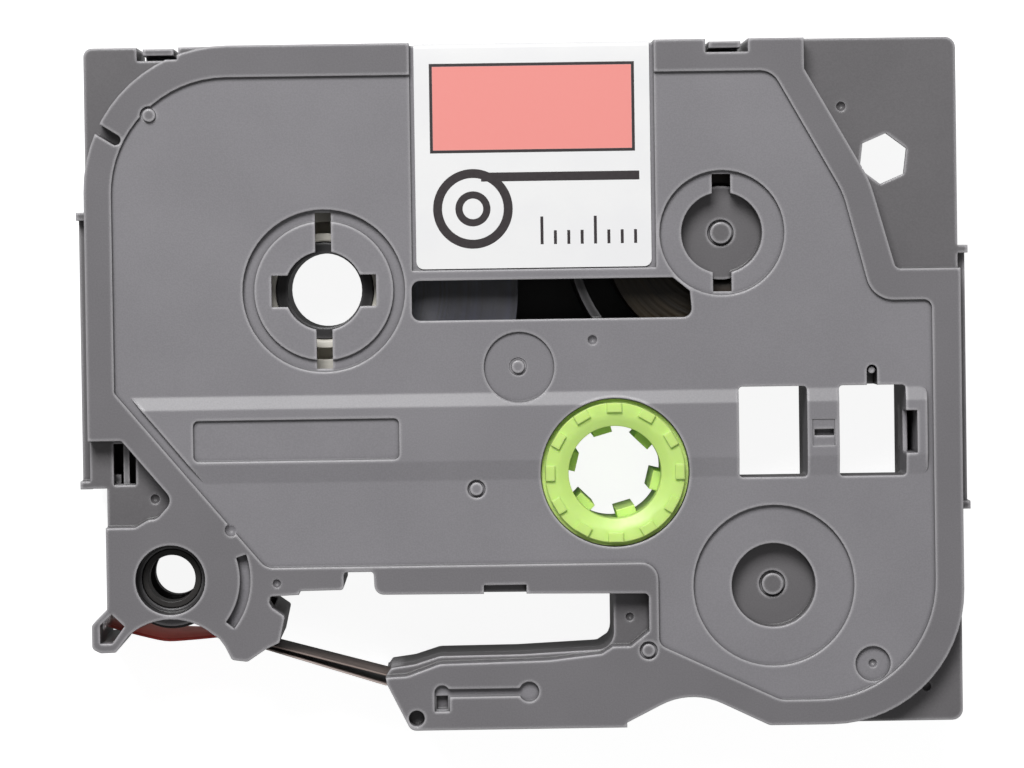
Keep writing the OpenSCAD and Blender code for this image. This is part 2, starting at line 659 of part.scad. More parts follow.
module ribbon_takeup_spool() {
    low = 0.4;
    high = panel_z + 0.1;
    top_r = takeup_journal_r - takeup_step[0];
    color(lime) difference() {
        union() {
            rod(takeup_c, takeup_journal_r, low, high - takeup_step[1]);
            rod(takeup_c, top_r, low, high);
            rod(takeup_c, takeup_barrel_r, deep_z0 + 0.2, deep_z1 - 0.2);
            for (k = [0 : 11]) translate(takeup_c) rotate([0, 0, 30 * k])
                translate([top_r - 0.9, -0.7, high - 0.5]) cube([0.85, 1.4, 0.8]);
        }
        translate([takeup_c.x, takeup_c.y, high - takeup_dish - 0.2])
            cylinder(r1 = takeup_bore_r - 0.5, r2 = top_r - 1.1, h = takeup_dish + 0.2);
        difference() {
            union() {
                rod(takeup_c, takeup_bore_r, -cut, case_h + cut);
                rod(takeup_c, takeup_bore_r + bore_relief, -cut, high - 3);
            }
            for (k = [0 : 5]) translate(takeup_c) rotate([0, 0, 60 * k - takeup_rib_turn])
                translate([takeup_bore_r - takeup_rib, -0.9, 2]) cube([3, 1.8, high - 5.3]);
        }
    }
}

module ribbon_takeup_roll() {
    color(dark) ring(takeup_c, takeup_roll_r, takeup_barrel_r + lay_gap, tape_z0, tape_z1);
}

// The clutch spring: one wire wound round the foot of the take-up barrel
spring_turns = 2;
spring_pitch = spring_wire + 0.45;
spring_r = takeup_barrel_r + 0.3 + spring_wire / 2;
spring_steps = 24 * spring_turns;
spring_sides = 6;
function spring_point(i) = let (a = 360 * i / 24)
    [takeup_c.x + spring_r * cos(a), takeup_c.y + spring_r * sin(a), deep_z0 + 0.15 + spring_wire / 2
        + spring_pitch * i / 24];
function spring_ring(i) = let (a = 360 * i / 24) [for (k = [0 : spring_sides - 1])
    let (b = 360 * k / spring_sides)
    spring_point(i) + spring_wire / 2 * [cos(b) * cos(a), cos(b) * sin(a), sin(b)]];
spring_steps_apart = [for (i = [0 : spring_steps - 24]) norm(spring_point(i + 24) - spring_point(i))];
spring_gap = min(spring_steps_apart) - spring_wire;
echo(spring_gap = spring_gap);

module takeup_clutch_spring() {
    s = spring_sides;
    last = spring_steps * s;
    points = [for (i = [0 : spring_steps]) each spring_ring(i)];
    side_faces = [for (i = [0 : spring_steps - 1]) for (k = [0 : s - 1])
        let (a = i * s + k, b = i * s + (k + 1) % s) each [[a, b, a + s], [b, b + s, a + s]]];
    first_end = [for (k = [1 : s - 2]) [0, k + 1, k]];
    last_end = [for (k = [1 : s - 2]) [last, last + k, last + k + 1]];
    color("silver") polyhedron(points, concat(side_faces, first_end, last_end));
}

module tape_drive_roller() {
    color(dark) difference() {
        union() {
            rod(roller_c, roller_r, tape_z0, tape_z1);
            rod(roller_c, roller_journal_r, flat_drop + 0.3, flat_top - 0.3);
        }
        rod(roller_c, roller_bore_r, -cut, case_h + cut);
        rod(roller_c, roller_bore_r + roller_relief, tape_z0 + 1, tape_z1 - 1.8);
    }
}

module film_guide_roller() {
    color("#c9c9c4") ring(guide_c, guide_roller_r, guide_pin_r + run_clear, tape_z0, tape_z1);
}

module film_web() {
    color("#b9ad98") strip(film_route, web_t, tape_z0, tape_z1);
}

module ribbon_web() {
    color(dark) strip(ribbon_route, web_t, tape_z0, tape_z1);
}

module adhesive_web() {
    color("#9a3a34") strip(adhesive_route, web_t, tape_z0, tape_z1);
}

module laminated_tape() {
    color("#a84c44") strip(laminated_route, laminated_t, tape_z0, tape_z1);
}

bottom_case();
top_case();
product_label();
adhesive_core();
adhesive_roll();
adhesive_lower_spacer();
adhesive_upper_spacer();
film_core();
film_roll();
ribbon_supply_core();
ribbon_supply_roll();
ribbon_takeup_spool();
ribbon_takeup_roll();
takeup_clutch_spring();
tape_drive_roller();
film_guide_roller();
film_web();
ribbon_web();
adhesive_web();
laminated_tape();
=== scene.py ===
import math
import bpy
import numpy as np
from mathutils import Matrix, Vector


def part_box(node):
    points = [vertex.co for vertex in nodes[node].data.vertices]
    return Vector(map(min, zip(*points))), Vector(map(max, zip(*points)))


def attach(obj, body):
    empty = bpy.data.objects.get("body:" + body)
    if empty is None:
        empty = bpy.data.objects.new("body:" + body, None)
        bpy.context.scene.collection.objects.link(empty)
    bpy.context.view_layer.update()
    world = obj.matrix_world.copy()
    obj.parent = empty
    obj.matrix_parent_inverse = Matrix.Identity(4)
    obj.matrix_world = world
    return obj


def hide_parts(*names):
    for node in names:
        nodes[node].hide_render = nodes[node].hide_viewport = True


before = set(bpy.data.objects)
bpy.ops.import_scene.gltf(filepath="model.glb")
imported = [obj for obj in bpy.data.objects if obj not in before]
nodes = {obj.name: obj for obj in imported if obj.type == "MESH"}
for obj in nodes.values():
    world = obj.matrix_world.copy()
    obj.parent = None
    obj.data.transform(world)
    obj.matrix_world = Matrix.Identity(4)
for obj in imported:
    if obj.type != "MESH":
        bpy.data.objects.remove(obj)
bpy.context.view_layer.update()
scene = bpy.context.scene
mm = 0.001


# camera: nearly straight down on the label side
cameraSpec = {
    "stand": (-6.0, 12.0, 457.0),   # mm, where the lens is
    "aim": (-1.19, 0.19, 17.0),     # mm, the point in the middle of the picture
    "roll": 0.83,                   # degrees, the case leans this much to the left
    "pixelsPerMm": 10.7,            # at the top face
    "pictureWidth": 1024,
    "sensor": 36.0,                 # mm
    "clip": (0.01, 10.0),           # m
}


def addCamera(spec):
    stand = Vector(spec["stand"]) * mm
    aim = Vector(spec["aim"]) * mm
    look = (aim - stand).normalized()
    right = look.cross(Vector((0, 1, 0))).normalized()
    up = right.cross(look)
    roll = math.radians(spec["roll"])
    cameraRight = right * math.cos(roll) - up * math.sin(roll)
    cameraUp = right * math.sin(roll) + up * math.cos(roll)
    data = bpy.data.cameras.new("camera")
    data.sensor_width = spec["sensor"]
    reach = (aim - stand).length / mm
    data.lens = data.sensor_width * spec["pixelsPerMm"] * reach / spec["pictureWidth"]
    data.clip_start, data.clip_end = spec["clip"]
    camera = bpy.data.objects.new("camera", data)
    turn = Matrix((cameraRight, cameraUp, -look)).transposed()
    camera.matrix_world = Matrix.Translation(stand) @ turn.to_4x4()
    scene.collection.objects.link(camera)
    scene.camera = camera
    print("camera: lens", round(data.lens, 1), "mm")


# light: a broad soft lamp from the rear, a weaker fill from the front, and a plain pale world
lightSpec = {
    "rear": {"place": (-110, 430, 600), "size": 340, "power": 5.3},
    "front": {"place": (150, -380, 420), "size": 420, "power": 0.35},
    "world": 0.14,
}


def addLamp(name, spec):
    data = bpy.data.lights.new(name, "AREA")
    data.shape = "SQUARE"
    data.size = spec["size"] * mm
    data.energy = spec["power"]
    lamp = bpy.data.objects.new(name, data)
    place = Vector(spec["place"]) * mm
    turn = (Vector() - place).to_track_quat("-Z", "Y").to_matrix().to_4x4()
    lamp.matrix_world = Matrix.Translation(place) @ turn
    scene.collection.objects.link(lamp)


def addWorld(strength):
    world = bpy.data.worlds.new("studio")
    world.use_nodes = True
    background = world.node_tree.nodes["Background"]
    background.inputs["Color"].default_value = (1, 1, 1, 1)
    background.inputs["Strength"].default_value = strength
    scene.world = world


addCamera(cameraSpec)
for lampName in ("rear", "front"):
    addLamp(lampName, lightSpec[lampName])
addWorld(lightSpec["world"])
scene.view_settings.view_transform = "Standard"


# node helpers
def linear(red, green, blue):
    # an 8-bit screen colour as the linear colour that a shader takes
    part = np.array([red, green, blue]) / 255
    value = np.where(part <= 0.04045, part / 12.92, ((part + 0.055) / 1.055) ** 2.4)
    return (*[float(v) for v in value], 1.0)


class Board:
    # a node tree with short calls: add puts a node in, and an input is a value or another node's socket
    def __init__(self, tree):
        self.tree = tree

    def add(self, kind, setting=None, **inputs):
        made = self.tree.nodes.new(kind)
        for key, value in (setting or {}).items():
            setattr(made, key, value)
        for key, value in inputs.items():
            name = int(key[1:]) if key[0] == "i" and key[1:].isdigit() else key.replace("_", " ")
            self.put(made.inputs[name], value)
        return made

    def put(self, socket, value):
        if isinstance(value, bpy.types.NodeSocket):
            self.tree.links.new(value, socket)
        else:
            socket.default_value = value

    def math(self, operation, a, b=0.0, c=0.0, clamp=False):
        made = self.add("ShaderNodeMath", {"operation": operation, "use_clamp": clamp}, i0=a, i1=b, i2=c)
        return made.outputs[0]

    def inverse(self, value):
        return self.math("SUBTRACT", 1.0, value)

    def between(self, value, low, high):
        # 1 where the value lies between the two, else 0
        return self.math("MULTIPLY", self.math("GREATER_THAN", value, low), self.math("LESS_THAN", value, high))

    def reach(self, x, y, centre):
        # distance from a centre in the plane
        dx = self.math("SUBTRACT", x, centre[0])
        dy = self.math("SUBTRACT", y, centre[1])
        return self.math("SQRT", self.math("ADD", self.math("MULTIPLY", dx, dx), self.math("MULTIPLY", dy, dy)))

    def outside(self, x, y, centre, half):
        # distance out of a box in the plane, below zero inside it
        dx = self.math("SUBTRACT", self.math("ABSOLUTE", self.math("SUBTRACT", x, centre[0])), half[0])
        dy = self.math("SUBTRACT", self.math("ABSOLUTE", self.math("SUBTRACT", y, centre[1])), half[1])
        return self.math("MAXIMUM", dx, dy)

    def scaled(self, vector, level):
        made = self.add("ShaderNodeVectorMath", {"operation": "SCALE"}, i0=vector, Scale=level)
        return made.outputs[0]

    def ramp(self, value, low, high):
        # 0 below low, 1 above high, eased at both ends
        made = self.add("ShaderNodeMapRange", {"interpolation_type": "SMOOTHSTEP"})
        for key, number in (("Value", value), ("From Min", low), ("From Max", high)):
            self.put(made.inputs[key], number)
        return made.outputs[0]

    def mix(self, factor, a, b):
        made = self.add("ShaderNodeMix", {"data_type": "RGBA"}, Factor=factor)
        self.put(made.inputs[6], a)
        self.put(made.inputs[7], b)
        return made.outputs[2]

    def scalarMix(self, factor, a, b):
        made = self.add("ShaderNodeMix", {"data_type": "FLOAT"}, Factor=factor, A=a, B=b)
        return made.outputs[0]

    def millimetres(self):
        # object coordinates in mm
        return self.scaled(self.add("ShaderNodeTexCoord").outputs["Object"], 1 / mm)

    def axes(self, place):
        return self.add("ShaderNodeSeparateXYZ", i0=place).outputs

    def noise(self, place, scale, detail):
        made = self.add("ShaderNodeTexNoise", Vector=place, Scale=scale, Detail=detail)
        return made.outputs[0]


def newGroup(name, inputs, outputs):
    # inputs and outputs give each socket's kind by its name
    tree = bpy.data.node_groups.new(name, "ShaderNodeTree")
    for way, sockets in (("INPUT", inputs), ("OUTPUT", outputs)):
        for label, kind in sockets.items():
            tree.interface.new_socket(label, in_out=way, socket_type="NodeSocket" + kind)
    board = Board(tree)
    return board, board.add("NodeGroupInput").outputs, board.add("NodeGroupOutput").inputs


def newMaterial(name):
    made = bpy.data.materials.new(name)
    made.use_nodes = True
    return made, Board(made.node_tree), made.node_tree.nodes["Principled BSDF"].inputs


def useGroup(board, group, **inputs):
    made = board.add("ShaderNodeGroup", {"node_tree": group})
    for key, value in inputs.items():
        board.put(made.inputs[key], value)
    return made.outputs


edgeSamples = 6     # rays for each rounded or shaded edge


def bump(board, height, strength, distance, edge=0.0):
    # distance in mm; edge rounds the corners' shading over that many mm
    made = board.add("ShaderNodeBump", Height=height, Strength=strength, Distance=distance * mm)
    if edge:
        rounded = board.add("ShaderNodeBevel", {"samples": edgeSamples}, Radius=edge * mm)
        board.put(made.inputs["Normal"], rounded.outputs[0])
    return made.outputs[0]


# moulded grain: a fine spark-eroded texture, and slow changes of tone over the moulding
grainSpec = {
    "fineDetail": 3.0,
    "broad": {"scale": 0.37, "detail": 2.0, "share": 0.4},     # a coarser layer, as shares of the fine one
    "speck": (0.32, 0.68),
    "drift": (0.3, 0.7),
}


def makeGrain(spec):
    board, given, out = newGroup("mouldedGrain", {"Place": "Vector", "Grain": "Float", "Drift": "Float"},
        {"Height": "Float", "Speck": "Float", "Drift": "Float"})
    broad = spec["broad"]
    fine = board.noise(given["Place"], given["Grain"], spec["fineDetail"])
    coarse = board.noise(given["Place"], board.math("MULTIPLY", given["Grain"], broad["scale"]), broad["detail"])
    drift = board.noise(given["Place"], given["Drift"], spec["fineDetail"])
    board.put(out["Height"], board.scalarMix(broad["share"], fine, coarse))
    board.put(out["Speck"], board.ramp(fine, *spec["speck"]))
    board.put(out["Drift"], board.ramp(drift, *spec["drift"]))
    return board.tree


# winding: the edge of a wound roll, fine turns round a centre with a few that stand out
windingSpec = {"turnDetail": 4.0, "bandScale": 1.3, "bandDetail": 2.0, "bandShare": 0.5}


def makeWinding(spec):
    board, given, out = newGroup("winding", {"Place": "Vector", "Centre": "Vector", "Turns": "Float"},
        {"Height": "Float", "Band": "Float"})
    offset = board.add("ShaderNodeVectorMath", {"operation": "SUBTRACT"}, i0=given["Place"], i1=given["Centre"])
    x, y, _ = board.axes(offset.outputs[0])
    flat = board.add("ShaderNodeCombineXYZ", X=x, Y=y).outputs[0]
    radius = board.add("ShaderNodeVectorMath", {"operation": "LENGTH"}, i0=flat).outputs["Value"]
    along = board.add("ShaderNodeCombineXYZ", X=radius).outputs[0]
    turns = board.noise(along, given["Turns"], spec["turnDetail"])
    bands = board.noise(along, spec["bandScale"], spec["bandDetail"])
    board.put(out["Height"], turns)
    board.put(out["Band"], board.scalarMix(spec["bandShare"], turns, bands))
    return board.tree


grainGroup = makeGrain(grainSpec)
windingGroup = makeWinding(windingSpec)


# case plastic: grey, the sunk panel and its bar paler and duller than the rim, the flats and the arm
caseSpec = {
    "panel": linear(134, 132, 136),
    "rim": linear(119, 117, 120),
    "flat": linear(108, 106, 108),
    "flatTop": (14.9, 15.3),                     # mm, between the flats and the rim
    "panelFoot": (15.7, 15.8),                   # mm, the heights between which the panel's face lies
    "panelTop": (16.62, 16.74),
    "bar": {"y": (-8.8, -0.5), "x": 37.7, "slope": (-37.2, -0.5, 0.785)},
    "grain": {"scale": 7.0, "speck": 0.1, "drift": 0.08, "driftScale": 0.09, "bump": (0.35, 0.03)},
    "roughness": {"rim": 0.32, "panel": 0.4, "paintedHighlight": 0.26},
    "edge": 0.3,                                 # mm, the rounding of the moulded edges
    # painted shade: the plastic under the long slot, below this height, is painted darker by this tone
    "inside": {"x": (-10.8, 12.5), "y": (4, 12), "z": 15.55, "tone": 0.25},
    # painted shade: the roller hole and the adhesive seat are painted darker below these heights
    "holes": ({"centre": (-33.4, -17.7), "radius": 3.5, "z": 16.9, "tone": 0.25},
        {"centre": (-18.65, 9.15), "radius": 5.6, "z": 14.9, "tone": 0.22}),
    "paintedHighlight": linear(204, 202, 205),               # painted highlight: the pale colour painted along the outer edges
    "highlightSpread": {"width": 0.4, "share": 0.7, "ramp": (0.1, 0.5)},        # painted highlight on the outer edges: mm across an edge, and how much of it
    "creviceShade": {"width": 0.5, "share": 0.55, "ramp": (0.1, 0.6)},    # painted shade in the inner corners: mm out of a corner, and how dark
}


def barMask(board, x, y):
    # the raised bar: a strip across the panel that ends on a slant at the left
    spec = caseSpec["bar"]
    startX, startY, slope = spec["slope"]
    leaned = board.math("MULTIPLY_ADD", y, slope, x)
    left = board.math("GREATER_THAN", leaned, startX + startY * slope)
    right = board.math("LESS_THAN", x, spec["x"])
    across = board.math("MULTIPLY", left, right)
    return board.math("MULTIPLY", across, board.between(y, *spec["y"]))


def paintedShade(board, x, y, z):
    # painted shade: under the long slot and in the two round holes the plastic is painted darker, where shade falls
    room = caseSpec["inside"]
    inRoom = board.math("MULTIPLY", board.between(x, *room["x"]), board.between(y, *room["y"]))
    deep = board.math("MULTIPLY", board.math("LESS_THAN", z, room["z"]), inRoom)
    level = board.scalarMix(deep, 1.0, room["tone"])
    for hole in caseSpec["holes"]:
        near = board.math("LESS_THAN", board.reach(x, y, hole["centre"]), hole["radius"])
        shadedHole = board.math("MULTIPLY", near, board.math("LESS_THAN", z, hole["z"]))
        level = board.math("MULTIPLY", level, board.scalarMix(shadedHole, 1.0, hole["tone"]))
    return level


def corners(board, spec, inside):
    # 0 on open faces, 1 at outer edges (inside) or in inner corners
    setting = {"samples": edgeSamples, "inside": inside, "only_local": True}
    spread = board.add("ShaderNodeAmbientOcclusion", setting, Distance=spec["width"] * mm)
    return board.ramp(board.inverse(spread.outputs["AO"]), *spec["ramp"])


def makeCasePlastic(spec):
    made, board, shader = newMaterial("casePlastic")
    place = board.millimetres()
    x, y, z = board.axes(place)
    above = board.ramp(z, *spec["panelFoot"])
    below = board.inverse(board.ramp(z, *spec["panelTop"]))
    face = board.math("MULTIPLY", above, below)
    panel = board.math("MAXIMUM", face, barMask(board, x, y))
    grainLook, rough = spec["grain"], spec["roughness"]
    grain = useGroup(board, grainGroup, Place=place, Grain=grainLook["scale"], Drift=grainLook["driftScale"])
    stepped = board.mix(board.ramp(z, *spec["flatTop"]), spec["flat"], spec["rim"])
    colour = board.mix(panel, stepped, spec["panel"])
    speck = board.math("MULTIPLY_ADD", grain["Speck"], grainLook["speck"], -grainLook["speck"] / 2)
    drift = board.math("MULTIPLY_ADD", grain["Drift"], grainLook["drift"], -grainLook["drift"] / 2)
    level = board.math("ADD", 1.0, board.math("ADD", speck, drift))
    # painted shade under the long slot and in the two round holes
    level = board.math("MULTIPLY", level, paintedShade(board, x, y, z))
    # painted highlight: outer edges, found by short occlusion inside the solid, are painted paler
    paintedHighlight = corners(board, spec["highlightSpread"], True)
    # painted shade: inner corners, found by short occlusion outside the solid, are painted darker
    shadedCorners = corners(board, spec["creviceShade"], False)
    level = board.math("MULTIPLY", level, board.math("MULTIPLY_ADD", shadedCorners, -spec["creviceShade"]["share"], 1.0))
    # painted highlight: the pale colour mixed in along the outer edges
    colour = board.mix(board.math("MULTIPLY", paintedHighlight, spec["highlightSpread"]["share"]), colour, spec["paintedHighlight"])
    board.put(shader["Base Color"], board.scaled(colour, level))
    plain = board.scalarMix(panel, rough["rim"], rough["panel"])
    board.put(shader["Roughness"], board.scalarMix(paintedHighlight, plain, rough["paintedHighlight"]))
    board.put(shader["Normal"], bump(board, grain["Height"], *grainLook["bump"], spec["edge"]))
    return made


# smooth by angle: faces shade smooth, and edges steeper than the limit stay sharp
def makeSmoothing(name, limit):
    tree = bpy.data.node_groups.new(name, "GeometryNodeTree")
    tree.interface.new_socket("Geometry", in_out="INPUT", socket_type="NodeSocketGeometry")
    tree.interface.new_socket("Geometry", in_out="OUTPUT", socket_type="NodeSocketGeometry")
    board = Board(tree)
    given = board.add("NodeGroupInput").outputs[0]
    faces = board.add("GeometryNodeSetShadeSmooth", {"domain": "FACE"}, Geometry=given)
    faces.inputs["Shade Smooth"].default_value = True
    angle = board.add("GeometryNodeInputMeshEdgeAngle").outputs[0]
    gentle = board.add("FunctionNodeCompare", {"operation": "LESS_THAN"}, A=angle, B=math.radians(limit)).outputs[0]
    edges = board.add("GeometryNodeSetShadeSmooth", {"domain": "EDGE"}, Geometry=faces.outputs[0])
    board.put(edges.inputs["Shade Smooth"], gentle)
    out = board.add("NodeGroupOutput")
    board.put(out.inputs[0], edges.outputs[0])
    return tree


smoothing = makeSmoothing("smoothCurves", 32)
caseSmoothing = makeSmoothing("smoothCase", 12.2)     # the bar's slopes keep their edges


# CAD pieces: the faces are joined, shaded smooth up to the limit, and flat ones kept flat to the light
joinSpec = {"weld": 0.002, "weight": 100}     # mm between joined points, and how much the larger faces count


def joinFaces(piece, shading):
    weld = piece.modifiers.new("weld", "WELD")
    weld.merge_threshold = joinSpec["weld"] * mm
    smooth = piece.modifiers.new("smooth", "NODES")
    smooth.node_group = shading
    even = piece.modifiers.new("even", "WEIGHTED_NORMAL")
    even.weight = joinSpec["weight"]
    even.keep_sharp = True


def paint(piece, material):
    piece.data.materials.clear()
    piece.data.materials.append(material)


casePlastic = makeCasePlastic(caseSpec)
for caseName in ("top_case", "bottom_case"):
    joinFaces(nodes[caseName], caseSmoothing)
    paint(nodes[caseName], casePlastic)
print("case: rounded edges and grain")


# floor: white to the camera and in reflections, with the object's shadow left on it, and a painted shadow under the
# case where reflections see it
floorSpec = {
    "half": 600,
    "drop": 0.01,            # mm under the case
    "white": 0.92,
    "shade": 0.4,
    "bounce": 0.15,
    "roughness": 0.9,
    "under": (40, 31),       # mm, half the room under the case that the painted shadow covers
    "fade": 9,
    "paintedShadowTone": 0.12,
}


def addFloor(spec):
    half = spec["half"] * mm
    mesh = bpy.data.meshes.new("floor")
    mesh.from_pydata([(-half, -half, 0), (half, -half, 0), (half, half, 0), (-half, half, 0)], [], [(0, 1, 2, 3)])
    floor = bpy.data.objects.new("floor", mesh)
    scene.collection.objects.link(floor)
    floor.location.z = -spec["drop"] * mm
    made, board, shader = newMaterial("paleFloor")
    shader["Base Color"].default_value = (*[spec["bounce"]] * 3, 1)
    shader["Roughness"].default_value = spec["roughness"]
    shader["Specular IOR Level"].default_value = 0.0
    ray = board.add("ShaderNodeLightPath").outputs
    mirrored = board.math("ADD", ray["Is Glossy Ray"], ray["Is Transmission Ray"], clamp=True)
    seen = board.math("ADD", ray["Is Camera Ray"], mirrored, clamp=True)
    x, y, _ = board.axes(board.millimetres())
    # painted shadow: reflections see the floor darker under the case
    clear = board.ramp(board.outside(x, y, (0.0, 0.0), spec["under"]), 0.0, spec["fade"])
    under = board.math("MULTIPLY", ray["Is Glossy Ray"], board.inverse(clear))
    level = board.scalarMix(under, 1.0, spec["paintedShadowTone"])
    glow = board.add("ShaderNodeEmission", Color=(1, 1, 1, 1), Strength=board.math("MULTIPLY", level, spec["white"]))
    lit = board.add("ShaderNodeBsdfDiffuse", Color=(*[spec["shade"]] * 3, 1))
    both = board.add("ShaderNodeAddShader", i0=glow.outputs[0], i1=lit.outputs[0])
    plain = board.tree.nodes["Principled BSDF"]
    choice = board.add("ShaderNodeMixShader", i0=seen, i1=plain.outputs[0], i2=both.outputs[0])
    fromBelow = board.add("ShaderNodeNewGeometry").outputs["Backfacing"]
    gone = board.add("ShaderNodeBsdfTransparent")
    sided = board.add("ShaderNodeMixShader", i0=fromBelow, i1=choice.outputs[0], i2=gone.outputs[0])
    board.put(board.tree.nodes["Material Output"].inputs[0], sided.outputs[0])
    paint(floor, made)


addFloor(floorSpec)
print("floor: white, with the shadow kept")


# meshes: rings of points along a path or round an axis
def insideOut(rings, quads):
    # the volume under the faces, from tetrahedra to the middle, is negative
    point = rings.reshape(-1, 3) - rings.mean(axis=(0, 1))
    p, q, r, t = (point[corner.ravel()] for corner in quads)
    volume = np.einsum("ij,ij->", p, np.cross(q, r) + np.cross(r, t))
    return volume < 0


def ringMesh(name, rings, loop=False):
    # rings is stations by points by xyz; each ring is closed, and the ends are capped unless the stations loop
    stations, around = rings.shape[:2]
    count = stations if loop else stations - 1
    row, col = np.meshgrid(np.arange(count), np.arange(around), indexing="ij")
    nextRow, nextCol = (row + 1) % stations, (col + 1) % around
    quads = [row * around + col, row * around + nextCol, nextRow * around + nextCol, nextRow * around + col]
    faces = np.stack(quads, axis=-1).reshape(-1, 4).tolist()
    if not loop:
        faces.append(list(range(around))[::-1])
        faces.append([(stations - 1) * around + k for k in range(around)])
    if insideOut(rings, quads):
        faces = [face[::-1] for face in faces]
    mesh = bpy.data.meshes.new(name)
    mesh.from_pydata((rings.reshape(-1, 3) * mm).tolist(), [], faces)
    mesh.update()
    piece = bpy.data.objects.new(name, mesh)
    scene.collection.objects.link(piece)
    smooth = piece.modifiers.new("smooth", "NODES")
    smooth.node_group = smoothing
    return piece


def finishPiece(piece, node, body, material):
    paint(piece, material)
    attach(piece, body)
    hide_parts(node)


cornerSteps = 4     # faces round a quarter of an edge


def roundedBox(low, high, radius, steps=cornerSteps):
    # outline of a box in two dimensions with quarter-circle corners, anticlockwise
    low, high = np.array(low), np.array(high)
    quarter = np.linspace(0, np.pi / 2, steps + 1)
    centres = [(high[0], high[1]), (low[0], high[1]), (low[0], low[1]), (high[0], low[1])]
    signs = [(-1, -1), (1, -1), (1, 1), (-1, 1)]
    parts = []
    for k, (centre, sign) in enumerate(zip(centres, signs)):
        turn = quarter + k * np.pi / 2
        middle = np.array(centre) + np.array(sign) * radius
        parts.append(middle + radius * np.stack([np.cos(turn), np.sin(turn)], axis=-1))
    return np.concatenate(parts)


roundSteps = 160    # faces round a turned piece


def turned(name, profile, centre):
    # a profile of radius and height carried round an upright axis
    turn = np.arange(roundSteps) / roundSteps * 2 * np.pi
    radius, height = profile[:, 0], profile[:, 1]
    x = centre[0] + np.outer(np.cos(turn), radius)
    y = centre[1] + np.outer(np.sin(turn), radius)
    z = np.broadcast_to(height, x.shape)
    return ringMesh(name, np.stack([x, y, z], axis=-1)[::-1], loop=True)


def nodeRing(node):
    # centre, outer radius and heights of a round node, in mm
    low, high = (np.array(corner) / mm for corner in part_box(node))
    centre = (low + high) / 2
    return centre, (high[0] - low[0]) / 2, low[2], high[2]


# smooth plastics: pale and smoky cores, the lime spool and the black roller
plasticSpec = {
    "corePlastic": {"colour": linear(216, 212, 202), "roughness": 0.45, "grain": 5.0, "speck": 0.05, "soft": 0.0},
    "limePlastic": {"colour": linear(208, 240, 136), "roughness": 0.34, "grain": 4.0, "speck": 0.05, "soft": 0.45},
    "smokePlastic": {"colour": linear(58, 50, 44), "roughness": 0.4, "grain": 5.0, "speck": 0.1, "soft": 0.0},
    "rollerPlastic": {"colour": linear(46, 44, 43), "roughness": 0.34, "grain": 6.0, "speck": 0.16, "soft": 0.0},
}
plasticFinish = {
    "drift": 0.15,
    "matt": 0.08,                       # how much the specks add to the roughness
    "bump": (0.15, 0.02, 0.15),         # strength, mm of height and mm of rounded edge
    "softRadius": (0.9, 1.0, 0.4),
    "softScale": 0.6,                   # mm
}


def makePlastic(name):
    spec = plasticSpec[name]
    made, board, shader = newMaterial(name)
    place = board.millimetres()
    grain = useGroup(board, grainGroup, Place=place, Grain=spec["grain"], Drift=plasticFinish["drift"])
    level = board.math("MULTIPLY_ADD", grain["Drift"], 2 * spec["speck"], 1 - spec["speck"])
    board.put(shader["Base Color"], board.scaled(spec["colour"][:3], level))
    matt = board.math("MULTIPLY_ADD", grain["Speck"], plasticFinish["matt"], spec["roughness"])
    board.put(shader["Roughness"], matt)
    board.put(shader["Normal"], bump(board, grain["Height"], *plasticFinish["bump"]))
    shader["Subsurface Weight"].default_value = spec["soft"]
    shader["Subsurface Radius"].default_value = plasticFinish["softRadius"]
    shader["Subsurface Scale"].default_value = plasticFinish["softScale"] * mm
    return made


corePlastic = makePlastic("corePlastic")
smokePlastic = makePlastic("smokePlastic")
for spoolName, plasticName in (("ribbon_takeup_spool", "limePlastic"), ("tape_drive_roller", "rollerPlastic")):
    joinFaces(nodes[spoolName], smoothing)
    paint(nodes[spoolName], makePlastic(plasticName))


# cores and the guide roller: turned rings with rounded edges
ringSpec = {
    "adhesive_core": {"body": "adhesive_spool", "bore": 4.63, "edge": 0.3, "groove": (5.4, 6.5, 2.5)},
    "film_core": {"body": "film_spool", "bore": 4.48, "edge": 0.25, "plastic": smokePlastic},
    "ribbon_supply_core": {"body": "ribbon_supply_spool", "bore": 4.58, "edge": 0.25},
    "film_guide_roller": {"body": "guide_roller", "bore": 1.08, "edge": 0.3},
}
for ringName, spec in ringSpec.items():
    centre, outer, low, high = nodeRing(ringName)
    profile = roundedBox((spec["bore"], low), (outer, high), spec["edge"])
    if "groove" in spec:
        start, end, deep = spec["groove"]
        groove = np.array([[end, high], [end, high - deep], [start, high - deep], [start, high]])
        profile = np.insert(profile, cornerSteps + 1, groove, axis=0)
    piece = turned(ringName + "Turned", profile, centre)
    finishPiece(piece, ringName, spec["body"], spec.get("plastic", corePlastic))


# disc film: thin clear discs on the faces of the adhesive roll
discSpec = {
    "bore": 8.02,
    "edge": 0.03,
    "colours": (linear(196, 198, 204), linear(226, 227, 228)),
    "grain": (1.2, 0.2),
    "matt": (0.12, 0.16),        # by the specks, and at least
    "cover": (0.03, 0.04),
}


def makeDiscFilm(spec):
    made, board, shader = newMaterial("discFilm")
    grainScale, driftScale = spec["grain"]
    grain = useGroup(board, grainGroup, Place=board.millimetres(), Grain=grainScale, Drift=driftScale)
    board.put(shader["Base Color"], board.mix(grain["Drift"], *spec["colours"]))
    board.put(shader["Roughness"], board.math("MULTIPLY_ADD", grain["Speck"], *spec["matt"]))
    board.put(shader["Alpha"], board.math("MULTIPLY_ADD", grain["Drift"], *spec["cover"]))
    return made


discFilm = makeDiscFilm(discSpec)
for discName in ("adhesive_lower_spacer", "adhesive_upper_spacer"):
    centre, outer, low, high = nodeRing(discName)
    profile = roundedBox((discSpec["bore"], low), (outer, high), discSpec["edge"], 1)
    finishPiece(turned(discName + "Disc", profile, centre), discName, "adhesive_spool", discFilm)


